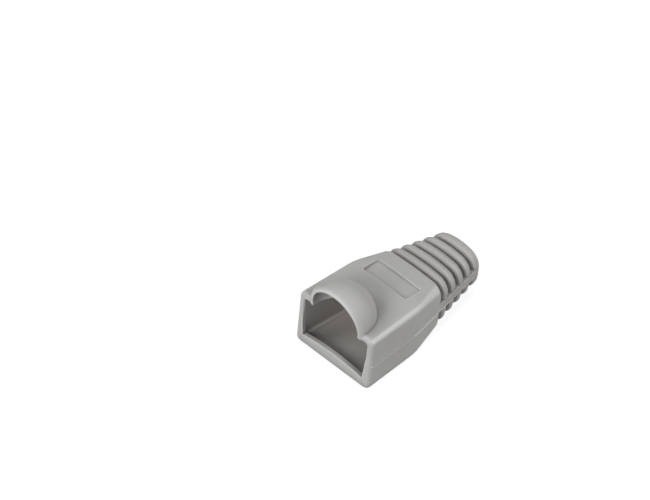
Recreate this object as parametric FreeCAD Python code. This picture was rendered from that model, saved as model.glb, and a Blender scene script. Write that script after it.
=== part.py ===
import FreeCAD, Part
import math
import os

from FreeCAD import Vector

# Strain relief boot for a modular plug, moulded in one shot of soft PVC.
# It has a hollow housing that slides over the plug, a domed hood over the plug's latch,
# and a ribbed neck that lets the cable bend gently where it leaves the plug.
#
# Frame, in millimetres: +X runs along the cable, from the mouth to the cable exit, +Z is up on
# the hood's side, and the origin is under the middle of the boot, on its flat bottom.
# While the boot is drawn, x is measured from the mouth. The last step centres it.

# ---- Stations along the cable, measured from the mouth
bend_station = 10.3
shoulder_station = 15.87
total_length = 26.0
bend_blend = 1.0

# ---- Housing, outside
mouth_width = 14.3
mouth_top = 9.83
mouth_corner = 1.0
bend_width = 13.5
bend_top = 9.83
bend_corner = 1.1
shoulder_width = 11.5
shoulder_top = 9.35
shoulder_bottom = 0.64
shoulder_corner = 2.1
housing_crown_radius = 60.0
flat_crown_radius = 2000.0
bottom_skim = 0.06
mouth_edge_radius = 0.6
shoulder_edge_radius = 0.35

# ---- Flash line where the mould's halves meet, along each side wall
flash_height = 4.5
flash_width = 0.14
flash_rise = 0.05

# ---- Housing, inside
side_wall = 1.05
top_wall = 1.26
floor_wall = 1.1
draft_per_side = 0.25
cavity_depth = 12.6
cavity_corner = 0.6
funnel_length = 3.4
funnel_widening = 1.1
lead_in = 0.15

# ---- Retention lip across the bottom of the mouth
lip_depth = 0.65
lip_end_height = 1.75
lip_middle_height = 2.25
lip_shoulder_height = 7.0
lip_shoulder_reach = 0.3
lip_edge_radius = 0.12
lip_seat = 0.2

# ---- Hood over the plug's latch
hood_radius = 5.25
hood_wall = 0.88
hood_axis_height = 9.1
hood_station = 0.75
hood_arch_length = 0.9
hood_rim_radius = 0.7
hood_lean_deg = 9.0
pocket_rise = 0.35
pocket_run_out = 0.5

# ---- Label recess on the top face
label_start = 9.57
label_length = 3.45
label_width = 8.5
label_depth = 0.4
label_corner = 0.5
label_flare = 0.3

# ---- Ribbed neck, outside
collar_width = 8.2
collar_top = 8.3
collar_bottom = 1.38
collar_corner = 2.6
shoulder_crown_radius = 30.0
collar_crown_radius = 8.0
collar_length = 1.65
collar_edge_radius = 0.5
ring_edge_share = 0.42

# ---- Grooves round the neck, which leave a spine along each side
groove_count = 5
groove_share = 0.32
groove_depth = 0.8
groove_floor_corner = 2.0
shoulder_floor_crown_radius = 20.0
collar_floor_crown_radius = 7.0
spine_bottom = 4.45
spine_top = 6.05

# ---- Cable bore
bore_width = 5.9
bore_height = 3.8
bore_axis_height = 5.2
bore_corner = 1.5
bore_crown_radius = 5.0
bore_edge_radius = 0.3

# ---- Sizes that follow from the others
ceiling = mouth_top - top_wall
cavity_width = mouth_width - 2 * side_wall
neck_length = total_length - shoulder_station
groove_pitch = (neck_length - collar_length) / (groove_count - 1 + groove_share)
groove_width = groove_share * groove_pitch
ring_length = groove_pitch - groove_width
ring_edge_radius = ring_edge_share * ring_length
collar_station = total_length - collar_length
hood_lean = math.radians(hood_lean_deg)
rim_centre_radius = hood_radius - hood_rim_radius
hood_overhang = (
    rim_centre_radius * math.sin(hood_lean)
    + (hood_arch_length - hood_rim_radius) * math.cos(hood_lean)
    + hood_rim_radius
    - hood_station
)


def oval(x, width, bottom, top, corner, top_crown, bottom_crown):
    """Section across the cable: straight sides, round corners, crowned top and bottom, all tangent."""

    def half_outline(height, up, crown):
        """Points from the straight side to the middle of the top (up = 1) or the bottom (up = -1)."""
        reach = width / 2 - corner
        rise = math.sqrt((crown - corner) ** 2 - reach**2)
        sweep = math.atan2(rise, reach)
        centre = height - up * (crown - rise)
        corner_points = [
            Vector(x, reach + corner * math.cos(angle), centre + up * corner * math.sin(angle))
            for angle in (0, sweep / 2, sweep)
        ]
        return corner_points + [Vector(x, 0, height)]

    def across(point):
        return Vector(point.x, -point.y, point.z)

    upper = half_outline(top, 1, top_crown)
    lower = half_outline(bottom, -1, bottom_crown)
    outline = [
        Part.LineSegment(lower[0], upper[0]),
        Part.Arc(upper[0], upper[1], upper[2]),
        Part.Arc(upper[2], upper[3], across(upper[2])),
        Part.Arc(across(upper[2]), across(upper[1]), across(upper[0])),
        Part.LineSegment(across(upper[0]), across(lower[0])),
        Part.Arc(across(lower[0]), across(lower[1]), across(lower[2])),
        Part.Arc(across(lower[2]), lower[3], lower[2]),
        Part.Arc(lower[2], lower[1], lower[0]),
    ]
    return Part.Wire([piece.toShape() for piece in outline])


def inset_oval(x, inset, width, bottom, top, corner, top_crown, bottom_crown):
    """The same section with everything moved inwards by the inset."""
    return oval(
        x,
        width - 2 * inset,
        bottom + inset,
        top - inset,
        corner - inset,
        top_crown - inset,
        bottom_crown - inset,
    )


def skin(sections):
    """Solid with straight lines from each section to the next."""
    return Part.makeLoft(sections, True, True)


def rounded_end(x_end, radius, inward, steps):
    """Station and inset of the sections that round an end over, from the end plane inwards."""
    angles = [math.pi / 2 * step / steps for step in range(steps + 1)]
    return [
        (x_end + inward * radius * (1 - math.cos(angle)), radius * (1 - math.sin(angle)))
        for angle in angles
    ]


def block(x_from, x_to, y_from, y_to, z_from, z_to):
    return Part.makeBox(x_to - x_from, y_to - y_from, z_to - z_from, Vector(x_from, y_from, z_from))


# ---- Housing: a box that narrows behind a softly rounded bend


def housing_value(x, at_mouth, at_bend, at_shoulder):
    """Straight from mouth to bend and on to the shoulder, with a parabola that rounds the bend."""
    front_slope = (at_bend - at_mouth) / bend_station
    rear_slope = (at_shoulder - at_bend) / (shoulder_station - bend_station)
    past_bend = x - bend_station
    if past_bend <= -bend_blend:
        return at_mouth + front_slope * x
    if past_bend >= bend_blend:
        return at_bend + rear_slope * past_bend
    rounding = (past_bend + bend_blend) ** 2 / (4 * bend_blend)
    return at_mouth + front_slope * x + (rear_slope - front_slope) * rounding


def housing_section(x, inset):
    return inset_oval(
        x,
        inset,
        housing_value(x, mouth_width, bend_width, shoulder_width),
        housing_value(x, 0.0, 0.0, shoulder_bottom) - bottom_skim,
        housing_value(x, mouth_top, bend_top, shoulder_top),
        housing_value(x, mouth_corner, bend_corner, shoulder_corner),
        housing_crown_radius,
        flat_crown_radius,
    )


def make_housing():
    """The outer form, with a skim off its bottom so that it has two true planes, to stand and to rise on."""
    stations = rounded_end(0.0, mouth_edge_radius, 1, 3)
    stations += [(bend_station + bend_blend * step, 0.0) for step in (-1, -0.33, 0.33, 1)]
    rear_start = bend_station + bend_blend
    rear_length = shoulder_station - shoulder_edge_radius - rear_start
    stations += [(rear_start + rear_length * share, 0.0) for share in (0.25, 0.5, 0.75)]
    stations += reversed(rounded_end(shoulder_station, shoulder_edge_radius, -1, 2))
    outside = skin([housing_section(x, inset) for x, inset in stations])
    below_table = block(-mouth_top, total_length, -mouth_width, mouth_width, -mouth_top, 0)
    below_rise = below_table.copy()
    rise_axis = Vector(bend_station, 0, 0)
    rise_angle = math.degrees(math.atan2(shoulder_bottom, shoulder_station - bend_station))
    below_rise.rotate(rise_axis, Vector(0, 1, 0), -rise_angle)
    return outside.cut([below_table, below_rise])


def make_flash_lines():
    """Thin raised line along each side wall, from the mouth's rounding to the bend."""
    ends = (mouth_edge_radius, bend_station - bend_blend)
    proud = skin([housing_section(x, -flash_rise) for x in ends])
    low, high = flash_height - flash_width / 2, flash_height + flash_width / 2
    return proud.common(block(0, bend_station, -mouth_width, mouth_width, low, high))


# ---- Hood: half a ball behind a short arch, whose open front leans out over the plug


def arch_and_dome(radius, rise, run_out):
    """A short arch and half a ball about one axis, which leans back by the hood's lean."""
    along = Vector(math.cos(hood_lean), 0, math.sin(hood_lean))
    upward = Vector(-math.sin(hood_lean), 0, math.cos(hood_lean))
    centre = Vector(hood_station, 0, hood_axis_height) + upward * rise
    length = hood_arch_length + run_out
    arch = Part.makeCylinder(radius, length, centre - along * length, along)
    dome = Part.makeSphere(radius, centre, along, 0, 90)
    return arch.fuse(dome).removeSplitter()


def make_hood():
    """The outside of the hood with a rounded rim, down to the ceiling of the housing."""
    outside = arch_and_dome(hood_radius, 0.0, 0.0)
    circles = [edge for edge in outside.Edges if edge.isClosed() and edge.Length > hood_radius]
    rim = min(circles, key=lambda edge: edge.CenterOfMass.x)
    outside = outside.makeFillet(hood_rim_radius, [rim])
    above_ceiling = block(
        -mouth_top, shoulder_station, -mouth_width, mouth_width, ceiling, 3 * mouth_top
    )
    return outside.common(above_ceiling)


def make_hood_pocket():
    """Room for the plug's latch under the dome."""
    return arch_and_dome(hood_radius - hood_wall, pocket_rise, pocket_run_out)


# ---- Label recess: its floor runs parallel to the sloping top face


def label_outline(height):
    """Rounded rectangle that grows with height by the flare, and has its named size at the top face."""
    growth = (height - bend_top) * label_flare
    half_length = label_length / 2 + growth
    half_width = label_width / 2 + growth
    corner = label_corner + growth
    middle = label_start + label_length / 2
    diagonal = corner * (1 - math.sqrt(0.5))
    outline = []
    for turn in range(4):
        along, reach = (half_length, half_width) if turn % 2 == 0 else (half_width, half_length)
        points = [
            Vector(along, corner - reach, height),
            Vector(along, reach - corner, height),
            Vector(along - diagonal, reach - diagonal, height),
            Vector(along - corner, reach, height),
        ]
        quarter = FreeCAD.Rotation(Vector(0, 0, 1), 90 * turn)
        points = [quarter.multVec(point) + Vector(middle, 0, 0) for point in points]
        outline.append(Part.LineSegment(points[0], points[1]))
        outline.append(Part.Arc(points[1], points[2], points[3]))
    return Part.Wire([piece.toShape() for piece in outline])


def make_label_recess(housing):
    lowest = bend_top - label_corner
    pocket = skin([label_outline(lowest), label_outline(bend_top + label_corner)])
    floor = housing.copy()
    floor.translate(Vector(0, 0, -label_depth))
    return pocket.cut(floor)


# ---- Inside: a drafted cavity, a funnel and the cable bore


def cavity_section(x, widening):
    outside_narrowing = mouth_width - housing_value(x, mouth_width, bend_width, shoulder_width)
    top_drop = mouth_top - housing_value(x, mouth_top, bend_top, shoulder_top)
    floor_rise = housing_value(x, 0.0, 0.0, shoulder_bottom)
    draft = 2 * draft_per_side * min(x / bend_station, 1)
    return oval(
        x,
        cavity_width - outside_narrowing - draft + 2 * widening,
        floor_wall + floor_rise,
        ceiling - top_drop + widening,
        cavity_corner,
        flat_crown_radius,
        flat_crown_radius,
    )


def bore_section(x, widening):
    return inset_oval(
        x,
        -widening,
        bore_width,
        bore_axis_height - bore_height / 2,
        bore_axis_height + bore_height / 2,
        bore_corner,
        bore_crown_radius,
        bore_crown_radius,
    )


def make_cavity():
    sections = [cavity_section(0, lead_in), cavity_section(lead_in, 0)]
    sections += [cavity_section(x, 0) for x in (bend_station - bend_blend, bend_station, cavity_depth)]
    return skin(sections)


def make_bore():
    """Round-cornered passage for the cable, with a funnel from the cavity and a softened exit."""
    return skin(
        [
            bore_section(cavity_depth, funnel_widening),
            bore_section(cavity_depth + funnel_length, 0),
            bore_section(total_length - bore_edge_radius, 0),
            bore_section(total_length, bore_edge_radius),
        ]
    )


def make_lip():
    """Crowned ridge that catches behind the plug's lower front edge and runs up into the side walls."""
    seat_half = cavity_width / 2 + lip_seat
    crest_half = cavity_width / 2 - lip_shoulder_reach
    seat = floor_wall - lip_seat
    crest = Part.Arc(
        Vector(0, -crest_half, lip_end_height),
        Vector(0, 0, lip_middle_height),
        Vector(0, crest_half, lip_end_height),
    )
    corners = [
        Vector(0, crest_half, lip_end_height),
        Vector(0, seat_half, lip_shoulder_height),
        Vector(0, seat_half, seat),
        Vector(0, -seat_half, seat),
        Vector(0, -seat_half, lip_shoulder_height),
        Vector(0, -crest_half, lip_end_height),
    ]
    sides = [Part.LineSegment(start, end) for start, end in zip(corners, corners[1:])]
    face = Part.Face(Part.Wire([piece.toShape() for piece in [crest] + sides]))
    ridge = face.extrude(Vector(lip_depth, 0, 0))
    front_crest = [
        edge
        for edge in ridge.Edges
        if type(edge.Curve).__name__ == "Circle" and edge.BoundBox.XMax < lip_depth / 2
    ]
    return ridge.makeFillet(lip_edge_radius, front_crest)


# ---- Neck: rounded rings on an oval tube, tied by a spine along each side


def neck_value(x, at_shoulder, at_collar):
    along = (x - shoulder_station) / neck_length
    return at_shoulder + (at_collar - at_shoulder) * along


def neck_section(x, inset):
    crown = neck_value(x, shoulder_crown_radius, collar_crown_radius)
    return inset_oval(
        x,
        inset,
        neck_value(x, shoulder_width, collar_width),
        neck_value(x, shoulder_bottom, collar_bottom),
        neck_value(x, shoulder_top, collar_top),
        neck_value(x, shoulder_corner, collar_corner),
        crown,
        crown,
    )


def groove_floor_section(x):
    crown = neck_value(x, shoulder_floor_crown_radius, collar_floor_crown_radius)
    return oval(
        x,
        neck_value(x, shoulder_width, collar_width) - 2 * groove_depth,
        neck_value(x, shoulder_bottom, collar_bottom) + groove_depth,
        neck_value(x, shoulder_top, collar_top) - groove_depth,
        groove_floor_corner,
        crown,
        crown,
    )


def make_ring(x_from, x_to, rear_radius):
    stations = rounded_end(x_from, ring_edge_radius, 1, 2)
    stations += reversed(rounded_end(x_to, rear_radius, -1, 2))
    return skin([neck_section(x, inset) for x, inset in stations])


def make_neck():
    inside_housing = shoulder_station - shoulder_edge_radius
    inside_collar = collar_station + ring_edge_radius
    tube = skin([groove_floor_section(inside_housing), groove_floor_section(inside_collar)])

    envelope = skin([neck_section(inside_housing, 0.0), neck_section(inside_collar, 0.0)])
    spines = envelope.common(
        block(0, total_length, -mouth_width, mouth_width, spine_bottom, spine_top)
    )

    ring_starts = [
        shoulder_station + groove_width + index * groove_pitch for index in range(groove_count - 1)
    ]
    rings = [make_ring(start, start + ring_length, ring_edge_radius) for start in ring_starts]
    collar = make_ring(collar_station, total_length, collar_edge_radius)
    return tube.fuse([spines, collar] + rings)


# ---- The boot


def make_boot():
    housing = make_housing()
    boot = housing.fuse([make_flash_lines(), make_hood(), make_neck()])
    boot = boot.cut([make_label_recess(housing), make_cavity(), make_bore(), make_hood_pocket()])
    boot = boot.fuse(make_lip()).removeSplitter()
    boot.translate(Vector((hood_overhang - total_length) / 2, 0, 0))
    return boot


boot = make_boot()
print("solids:", len(boot.Solids), " volume:", round(boot.Volume, 1), " faces:", len(boot.Faces))

os.makedirs("parts", exist_ok=True)
boot.Solids[0].exportStep("parts/boot.step")
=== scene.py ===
# %% [markdown]
# # A strain relief boot, dressed for its picture
#
# The boot is the soft sleeve that sits behind a network plug. It is moulded in one shot of
# flexible PVC: a hollow housing slides over the plug, a domed hood keeps the plug's latch from
# snagging, and a ribbed neck lets the cable bend gently.
#
# Its whole form is already there as a solid. What is left to do here is the look of it: the
# moulded finish, a plain table, studio light and a camera. Blender measures in metres, and the
# solid is in the same frame, so nothing has to be fitted. Lengths are written in millimetres
# times MM, because a moulder thinks in millimetres.

# %% Load the solid
import math

import bpy
from mathutils import Matrix, Vector


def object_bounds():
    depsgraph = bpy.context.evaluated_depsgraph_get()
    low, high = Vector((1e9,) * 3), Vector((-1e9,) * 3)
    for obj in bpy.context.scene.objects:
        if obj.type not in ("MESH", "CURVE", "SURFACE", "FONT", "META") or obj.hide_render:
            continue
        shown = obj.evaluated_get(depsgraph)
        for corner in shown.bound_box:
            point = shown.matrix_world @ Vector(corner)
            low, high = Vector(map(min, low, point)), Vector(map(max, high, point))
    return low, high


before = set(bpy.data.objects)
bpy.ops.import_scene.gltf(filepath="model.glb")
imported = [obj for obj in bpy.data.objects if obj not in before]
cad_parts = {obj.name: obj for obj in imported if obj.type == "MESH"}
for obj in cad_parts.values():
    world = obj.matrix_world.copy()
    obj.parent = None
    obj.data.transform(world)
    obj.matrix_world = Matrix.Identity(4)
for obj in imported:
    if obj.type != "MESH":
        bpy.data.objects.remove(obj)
solid_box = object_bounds()
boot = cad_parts["boot"]
MM = 0.001
low, high = (Vector(corner) for corner in solid_box)
print("boot measures", [round(side / MM, 2) for side in high - low], "mm")

# %% [markdown]
# ## Sums on sockets
#
# A procedural material is a little program made of nodes. Wiring every sum by hand hides what
# it says, so this small class wraps one output socket and lets Python's own signs add the Math
# nodes: `1 - mask` makes a subtraction, `mask * tone` a multiplication. Numbers on their own
# stay in Python and never become nodes.


# %% A socket that takes part in sums
class Signal:
    def __init__(self, finish, socket):
        self.finish = finish
        self.socket = socket

    def sum_node(self, operation, first, second=0.0):
        return self.finish.node("ShaderNodeMath", {"operation": operation}, {0: first, 1: second})

    def __add__(self, other):
        return self.sum_node("ADD", self, other)

    def __sub__(self, other):
        return self.sum_node("SUBTRACT", self, other)

    def __rsub__(self, other):
        return self.sum_node("SUBTRACT", other, self)

    def __mul__(self, other):
        return self.sum_node("MULTIPLY", self, other)

    def __abs__(self):
        return self.sum_node("ABSOLUTE", self)

    __radd__ = __add__
    __rmul__ = __mul__


print("a Signal adds Math nodes for + - * and abs")

# %% [markdown]
# ## One way to add any other node
#
# A finish is a material, or the world around the boot, with an empty node tree. Its `node`
# method takes the node's type, then the settings that change which sockets the node has, and
# only then the values or links of its sockets. Settings come first because a Mix node, for one,
# shows its colour sockets only once it is told that it mixes colours.


# %% A finish and its nodes
class Finish:
    def __init__(self, owner):
        self.owner = owner
        owner.use_nodes = True
        self.tree = owner.node_tree
        self.tree.nodes.clear()

    def node(self, kind, settings=None, sockets=None, output=0):
        """Adds a node. What comes back is one of its outputs, by number or by name."""
        made = self.tree.nodes.new(kind)
        for name, value in (settings or {}).items():
            setattr(made, name, value)
        for key, value in (sockets or {}).items():
            if isinstance(value, Signal):
                self.tree.links.new(value.socket, made.inputs[key])
            else:
                made.inputs[key].default_value = value
        return Signal(self, made.outputs[output]) if len(made.outputs) else None

    def colour_mix(self, factor, first, second):
        """Mixes two colours. A Math node would turn them grey."""
        # The sockets go by number, because numbers, vectors and colours all have an A and a B.
        sockets = {0: factor, 6: first, 7: second}
        return self.node("ShaderNodeMix", {"data_type": "RGBA"}, sockets, output=2)

    def surface(self, shader, kind="ShaderNodeOutputMaterial"):
        """Shows the shader, and gives back the material or world that it was made for."""
        self.node(kind, None, {"Surface": shader})
        return self.owner


print("a Finish adds any node, mixes colours and shows a shader")

# %% [markdown]
# ## Soft PVC, light grey
#
# The real boot is pigmented all the way through, so there is no paint to chip and no pattern
# printed on it. What the eye reads as plastic is fainter: a fine matt grain left by the eroded
# steel of the mould, slow waves where thick walls shrank as they cooled, and a tone that drifts a
# little from thick to thin. Shade in the hollows and highlights on the edges are painted into the
# colour as well.
#
# An image would need the surface unwrapped and would blur up close. Noise in the object's own
# coordinates costs nothing, stays sharp, and keeps the same grain size on every face, so that
# is used.

# %% Start the finish, and find where a point lies and how it is turned
pvc = Finish(bpy.data.materials.new("soft_pvc_light_grey"))
place = pvc.node("ShaderNodeTexCoord", output="Object")
turned = pvc.node("ShaderNodeNewGeometry", output="True Normal")


def axis(vector, name):
    """One axis of a vector: X along the cable, Y across, Z up."""
    return vector.finish.node("ShaderNodeSeparateXYZ", None, {"Vector": vector}, name)


along = axis(place, "X")
across = axis(place, "Y")
height = axis(place, "Z")
backward = axis(turned, "X")
sideways = axis(turned, "Y")
upward = axis(turned, "Z")
print("finish started:", pvc.owner.name)


# %% A mask that fades between two values
def spread(signal, none_at, full_at):
    """0 where the signal is none_at or beyond, 1 from full_at on, and a soft step between."""
    return signal.finish.node(
        "ShaderNodeMapRange",
        {"interpolation_type": "SMOOTHSTEP"},
        {"Value": signal, "From Min": none_at, "From Max": full_at},
    )


print("spread makes a mask out of any signal")


# %% Noise by the real size of one patch
def noise(grain, detail, roughness=0.5):
    """Grey noise from 0 to 1 whose patches are about one grain across, in metres."""
    sockets = {"Vector": place, "Scale": 1.0 / grain, "Detail": detail, "Roughness": roughness}
    return pvc.node("ShaderNodeTexNoise", {"noise_dimensions": "3D"}, sockets)


DRIFT_SIZE = 9 * MM
CLOUD_SIZE = 2.2 * MM
drift = spread(noise(DRIFT_SIZE, detail=1.0), none_at=0.35, full_at=0.7)
clouds = spread(noise(CLOUD_SIZE, detail=3.0), none_at=0.42, full_at=0.72)
print("patches of tone in mm:", [round(size / MM, 1) for size in (DRIFT_SIZE, CLOUD_SIZE)])

# %% [markdown]
# ## Hollows and sharp edges
#
# Ambient occlusion measures how walled-in a point is: 1 in the open, and less where something
# is near. How far it looks decides what it finds. A short reach finds the fine corners and a
# longer one the grooves of the neck, and both get painted shade. A reach of a few millimetres
# finds the foot of the hood, around which the hood's shadow is painted on the top, and a very long
# one finds the inside of the housing. Measured from the inside of the plastic, it finds the sharp
# outer edges, which get a painted highlight. These places could be painted by hand, but a
# measured mask finds them by itself, on every ring alike.


# %% Hollows and sharp edges
def walled_in(reach, inside=False):
    """1 where nothing is near, down to 0 where the surface is walled in within the reach."""
    settings = {"samples": 8, "only_local": True, "inside": inside}
    return pvc.node("ShaderNodeAmbientOcclusion", settings, {"Distance": reach}, "AO")


CORNER = 0.45 * MM
GROOVE = 1.6 * MM
HOOD = 6 * MM
HOUSING = 9 * MM
in_corners = spread(walled_in(CORNER), none_at=0.92, full_at=0.5)
in_grooves = spread(walled_in(GROOVE), none_at=0.8, full_at=0.3)
in_housing = spread(walled_in(HOUSING), none_at=0.6, full_at=0.25)
near_hood = spread(walled_in(HOOD), none_at=0.99, full_at=0.75)
# The sharp outer edges get a painted highlight, and the same mask makes them a little smoother.
sharp = spread(walled_in(CORNER, inside=True), none_at=0.97, full_at=0.6)
lies_flat = spread(upward, none_at=0.6, full_at=0.9)
# The painted shadow that the hood casts on the top behind it.
painted_hood_shadow = near_hood * lies_flat * (1 - in_housing)
print("reaches in mm:", [round(reach / MM, 2) for reach in (CORNER, GROOVE, HOOD, HOUSING)])

# %% [markdown]
# ## Painted highlight on the roundings, painted shade at the foot, a darker neck
#
# Some marks follow where a point lies and how the surface is turned there, not its hollows.
# A painted highlight lies along the roundings between the top and the sides, where a lamp's
# gleam falls. Painted shade darkens the foot and the lowest part of the sides. The neck is what
# one grips to pull the plug, and it takes on a warmer, darker tone. Side and top are equally long
# parts of the surface's direction in the middle of a rounding, so their product is largest there.

# %% Roundings, foot and neck
SHOULDER = 3.33 * MM
HOOD_FOOT = 9.8 * MM
FOOT_HEIGHT = 1.5 * MM
on_housing = spread(along, none_at=SHOULDER + 0.17 * MM, full_at=SHOULDER - 0.13 * MM)
on_neck = spread(along, none_at=SHOULDER - 0.13 * MM, full_at=SHOULDER + 0.37 * MM)
below_hood = spread(height, none_at=HOOD_FOOT + 0.3 * MM, full_at=HOOD_FOOT)
# A painted highlight along the roundings between the top and the sides, where a lamp's gleam
# falls.
painted_rounding_highlight = spread(abs(sideways) * upward, none_at=0.3, full_at=0.48) * on_housing * below_hood
not_on_top = spread(upward, none_at=0.5, full_at=0.1)
# Painted shade along the foot and the lowest part of the sides.
painted_foot_shade = spread(height, none_at=FOOT_HEIGHT, full_at=0.2 * MM) * not_on_top
print("the neck starts", round((SHOULDER - low.x) / MM, 1), "mm behind the hood's rim")

# %% [markdown]
# ## The flash line
#
# Where the mould's two halves met, a hair of plastic squeezed out along each side. The solid
# has it as a fine ridge. A painted pale line along it stands in for light shining through the thin
# ridge, and no painted shade is laid beside it. Surfaces that face forward, towards the front
# lamp, get no painted shade either.

# %% Flash line, and where painted shade may fall
FLASH_HEIGHT = 4.5 * MM
from_flash = abs(height - FLASH_HEIGHT)
outer_side = spread(across * sideways, none_at=5.0 * MM, full_at=5.5 * MM)
# A painted pale line along the flash ridge, standing in for light shining through it.
flash = spread(from_flash, none_at=0.2 * MM, full_at=0.1 * MM) * outer_side
beside_flash = spread(from_flash, none_at=0.6 * MM, full_at=0.4 * MM) * outer_side
# Painted shade is kept off faces turned towards the front lamp, and off the flash ridge's sides.
not_facing_front = spread(backward, none_at=-0.5, full_at=-0.15)
may_be_shaded = (1 - beside_flash) * not_facing_front
# Painted shade in fine corners and in the grooves, darkest in the deepest grooves.
corner_shade = in_corners * may_be_shaded
shaded_grooves = in_grooves * may_be_shaded
deep_groove_shade = shaded_grooves * shaded_grooves
print("flash line at", FLASH_HEIGHT / MM, "mm above the foot")

# %% [markdown]
# ## The greys, one over another
#
# Each layer mixes one more grey over the tone so far, as strongly as its mask says. First come
# drifting warm patches, the inside and the darker neck. Then come painted highlights on the
# roundings and sharp edges, painted shade along the foot, a painted pale line on the flash, the
# hood's painted shadow, and last painted shade in the grooves and fine corners. One colour ramp
# could hold a few of these greys, but each has a mask of its own, and layers keep them apart. The
# inside is painted warmer and paler than the outside. Real PVC lets a little warm light through
# its thin walls, and this skin lets none through, so a tone stands in for it.

# %% The greys
FRESH = (0.425, 0.425, 0.412, 1.0)
WARM = (0.415, 0.398, 0.388, 1.0)
INSIDE = (0.54, 0.47, 0.43, 1.0)
GRIPPED = (0.35, 0.332, 0.325, 1.0)
# The next six greys are painted light: two pale painted highlights, a dark painted shade for the
# foot and the hood's shadow, a pale painted line for the flash, and two dark painted shades for
# grooves and corners.
PAINTED_ROUNDING_HIGHLIGHT = (0.62, 0.62, 0.605, 1.0)
PAINTED_EDGE_HIGHLIGHT = (0.56, 0.56, 0.545, 1.0)
PAINTED_SHADE = (0.27, 0.27, 0.262, 1.0)
PAINTED_FLASH_LINE = (0.68, 0.68, 0.665, 1.0)
PAINTED_GROOVE_SHADE = (0.31, 0.29, 0.278, 1.0)
PAINTED_DEEP_SHADE = (0.14, 0.13, 0.122, 1.0)
print("the plain grey runs from", WARM[:3], "to", FRESH[:3])

# %% Lay them over each other
# After the neck's layer come painted highlights, painted shade, a painted pale line and a painted
# shadow.
layers = (
    (clouds * 0.35 + drift * 0.35, WARM),
    (in_housing * 0.9, INSIDE),
    (on_neck * (0.25 + drift * 0.4), GRIPPED),
    (painted_rounding_highlight * 0.9, PAINTED_ROUNDING_HIGHLIGHT),
    (sharp * 0.8, PAINTED_EDGE_HIGHLIGHT),
    (painted_foot_shade * 0.9, PAINTED_SHADE),
    (flash, PAINTED_FLASH_LINE),
    (painted_hood_shadow * 0.8, PAINTED_SHADE),
    (shaded_grooves * 0.9, PAINTED_GROOVE_SHADE),
    (deep_groove_shade * 0.85, PAINTED_DEEP_SHADE),
    (corner_shade * 0.8, PAINTED_DEEP_SHADE),
)
tone = FRESH
for mask, grey in layers:
    tone = pvc.colour_mix(mask, tone, grey)
print("greys laid over the fresh one:", len(layers))

# %% [markdown]
# ## Grain, waves and gloss
#
# Three reliefs are laid over each other through Bump nodes, from coarse to fine: waves a few
# millimetres long and hundredths of a millimetre deep, the orange-peel skin that soft PVC keeps
# where it lets go of the steel, and the eroded grain. Real displacement would need a far finer
# mesh for the same effect. Roughness follows the same patches: a more deeply grained or cloudy
# spot is duller, so are the shaded grooves, and the sharp edges are a little smoother.


# %% Relief
def relief(signal, depth, below=None):
    """Raises the surface by depth where the signal is 1, on top of the relief below."""
    sockets = {"Strength": 1.0, "Distance": depth, "Height": signal}
    if below:
        sockets["Normal"] = below
    return pvc.node("ShaderNodeBump", None, sockets)


WAVE_SIZE, WAVE_DEPTH = 3.2 * MM, 0.05 * MM
PEEL_SIZE, PEEL_DEPTH = 0.55 * MM, 0.010 * MM
GRAIN_SIZE, GRAIN_DEPTH = 0.11 * MM, 0.0035 * MM
waves = noise(WAVE_SIZE, detail=1.0)
peel = noise(PEEL_SIZE, detail=2.0)
grain = noise(GRAIN_SIZE, detail=3.0, roughness=0.6)
bumps = relief(waves, WAVE_DEPTH)
bumps = relief(peel, PEEL_DEPTH, bumps)
bumps = relief(grain, GRAIN_DEPTH, bumps)
print("relief in mm:", [round(depth / MM, 4) for depth in (WAVE_DEPTH, PEEL_DEPTH, GRAIN_DEPTH)])

# %% The skin itself
PVC_IOR = 1.53
SHINE = 0.4
MATT = 0.54
roughness = MATT + peel * 0.06 + clouds * 0.05 + shaded_grooves * 0.1 - sharp * 0.04
skin = pvc.node(
    "ShaderNodeBsdfPrincipled",
    None,
    {
        "Base Color": tone,
        "Roughness": roughness,
        "Normal": bumps,
        "IOR": PVC_IOR,
        "Specular IOR Level": SHINE,
    },
)
boot.material_slots[0].material = pvc.surface(skin)
print("the skin has", len(pvc.tree.nodes), "nodes")

# %% [markdown]
# ## Table
#
# The boot lies on a plain table that looks like white paper. A strongly lit white table would
# also throw a lot of light back up at the boot and wash out its lower edges. So the table itself
# is a middling grey, and rays that come straight from the camera, or off a gloss or through
# glass, see a glow added to it, which lifts it to white. The boot gets nothing from that glow but
# what its gloss mirrors, and its soft shadow stays on the table.


# %% Rays that show the background
def pale_rays(finish):
    """1 for a ray that shows the background: straight, off a gloss or through glass."""
    seen, gloss, glass = (
        finish.node("ShaderNodeLightPath", output=kind)
        for kind in ("Is Camera Ray", "Is Glossy Ray", "Is Transmission Ray")
    )
    return seen + gloss + glass


print("pale_rays tells which rays show the background")

# %% White table
TABLE_SIDE = 4.0
TABLE_GAP = 0.02 * MM
TABLE_GREY = (0.45, 0.45, 0.45, 1.0)
TABLE_GLOW = 0.75
WHITE = (1.0, 1.0, 1.0, 1.0)
bpy.ops.mesh.primitive_plane_add(size=TABLE_SIDE, location=(0, 0, low.z - TABLE_GAP))
table = bpy.context.object
table.name = "table_top"
paper = Finish(bpy.data.materials.new("white_table"))
plain = paper.node("ShaderNodeBsdfDiffuse", None, {"Color": TABLE_GREY})
glow = paper.node("ShaderNodeEmission", None, {"Color": WHITE, "Strength": TABLE_GLOW})
bright = paper.node("ShaderNodeAddShader", None, {0: plain, 1: glow})
lifted = paper.node("ShaderNodeMixShader", None, {0: pale_rays(paper), 1: plain, 2: bright})
table.data.materials.append(paper.surface(lifted))
print("table is", TABLE_SIDE, "m square")

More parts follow.
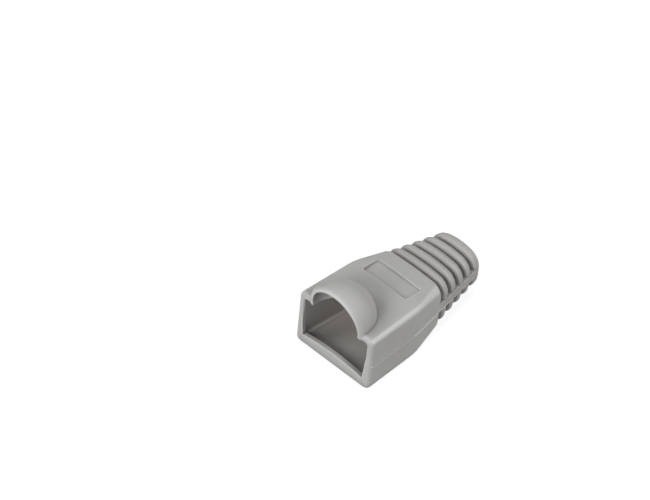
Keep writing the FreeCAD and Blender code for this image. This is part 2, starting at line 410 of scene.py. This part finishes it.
# %% [markdown]
# ## Light
#
# Five soft lamps stand around the boot. The strongest is low in front of the mouth: it lights the
# lip and the inside, lets the hood cast a soft shadow behind itself, and leaves dark lines in the
# grooves. One on the far side and one above even out the top, and two on the near side keep that
# wall readable and draw a gleam along its upper edge. They are large for so small a part, because
# hard light would print a sharp glint on each rounded edge. A picture of a studio wrapped round
# the scene could light it too, but lamps can be moved one at a time. The sky gives no light of its
# own. It is white only where it is seen, straight or in a gloss.


# %% Directions from the boot
def direction(azimuth, elevation):
    """One metre away from the boot. An azimuth of 0 degrees is behind it, and 180 in front."""
    turn, lift = math.radians(azimuth), math.radians(elevation)
    level = math.cos(lift)
    return Vector((level * math.cos(turn), level * math.sin(turn), math.sin(lift)))


print("behind the boot:", direction(0, 0)[:])

# %% Lamps
LAMP_DISTANCE = 1.2


def soft_lamp(name, azimuth, elevation, size, power):
    """A round lamp, size metres wide and of power watts, that faces the boot."""
    lamp = bpy.data.lights.new(name, "AREA")
    lamp.shape = "DISK"
    lamp.size = size
    lamp.energy = power
    stand = bpy.data.objects.new(name, lamp)
    bpy.context.collection.objects.link(stand)
    towards = direction(azimuth, elevation)
    stand.location = towards * LAMP_DISTANCE
    stand.rotation_euler = towards.to_track_quat("Z", "Y").to_euler()


soft_lamp("front_lamp", azimuth=184, elevation=24, size=0.6, power=9.4)
soft_lamp("front_far_lamp", azimuth=135, elevation=40, size=0.5, power=3.5)
soft_lamp("near_lamp", azimuth=268, elevation=45, size=0.5, power=3.5)
soft_lamp("rear_near_lamp", azimuth=324, elevation=38, size=0.4, power=4.5)
soft_lamp("top_lamp", azimuth=0, elevation=90, size=0.5, power=2.4)

# %% Sky
sky = Finish(bpy.data.worlds.new("pale_sky"))
backdrop = sky.node("ShaderNodeBackground", None, {"Color": WHITE, "Strength": pale_rays(sky)})
bpy.context.scene.world = sky.surface(backdrop, "ShaderNodeOutputWorld")
print("sky:", bpy.context.scene.world.name)

# %% [markdown]
# ## Camera
#
# The boot is seen from above and in front of its mouth, through a long lens that keeps its long
# edges almost parallel. The camera is also rolled by a few degrees, so the boot leans a little,
# and it aims past the boot, which leaves the upper left of the frame free. Three directions at
# right angles describe it: outward from the boot to the camera, right and up in the picture.

# %% Which way the camera looks
ROLL = math.radians(5.98)
outward = direction(azimuth=-139.82, elevation=43.05)
level_right = Vector((0, 0, 1)).cross(outward).normalized()
level_up = outward.cross(level_right)
right = level_right * math.cos(ROLL) + level_up * math.sin(ROLL)
up = outward.cross(right)
print("towards the camera:", [round(part, 3) for part in outward])

# %% Where it stands, and its lens
FRAME_WIDTH = 92.4 * MM
LENS = 200.0
SENSOR = 36.0
MIDDLE = Vector((0.83, 0.0, 4.5)) * MM
AIM_LEFT = 10.487 * MM
AIM_UP = 6.835 * MM
aim = MIDDLE - right * AIM_LEFT + up * AIM_UP
distance = FRAME_WIDTH * LENS / SENSOR
lens = bpy.data.cameras.new("camera")
lens.lens = LENS
lens.sensor_width = SENSOR
camera = bpy.data.objects.new("camera", lens)
bpy.context.collection.objects.link(camera)
turn = Matrix((right, up, outward)).transposed().to_4x4()
camera.matrix_world = Matrix.Translation(aim + outward * distance) @ turn
bpy.context.scene.camera = camera
bpy.context.scene.view_settings.view_transform = "Standard"
print("camera stands", round(distance, 3), "m away")
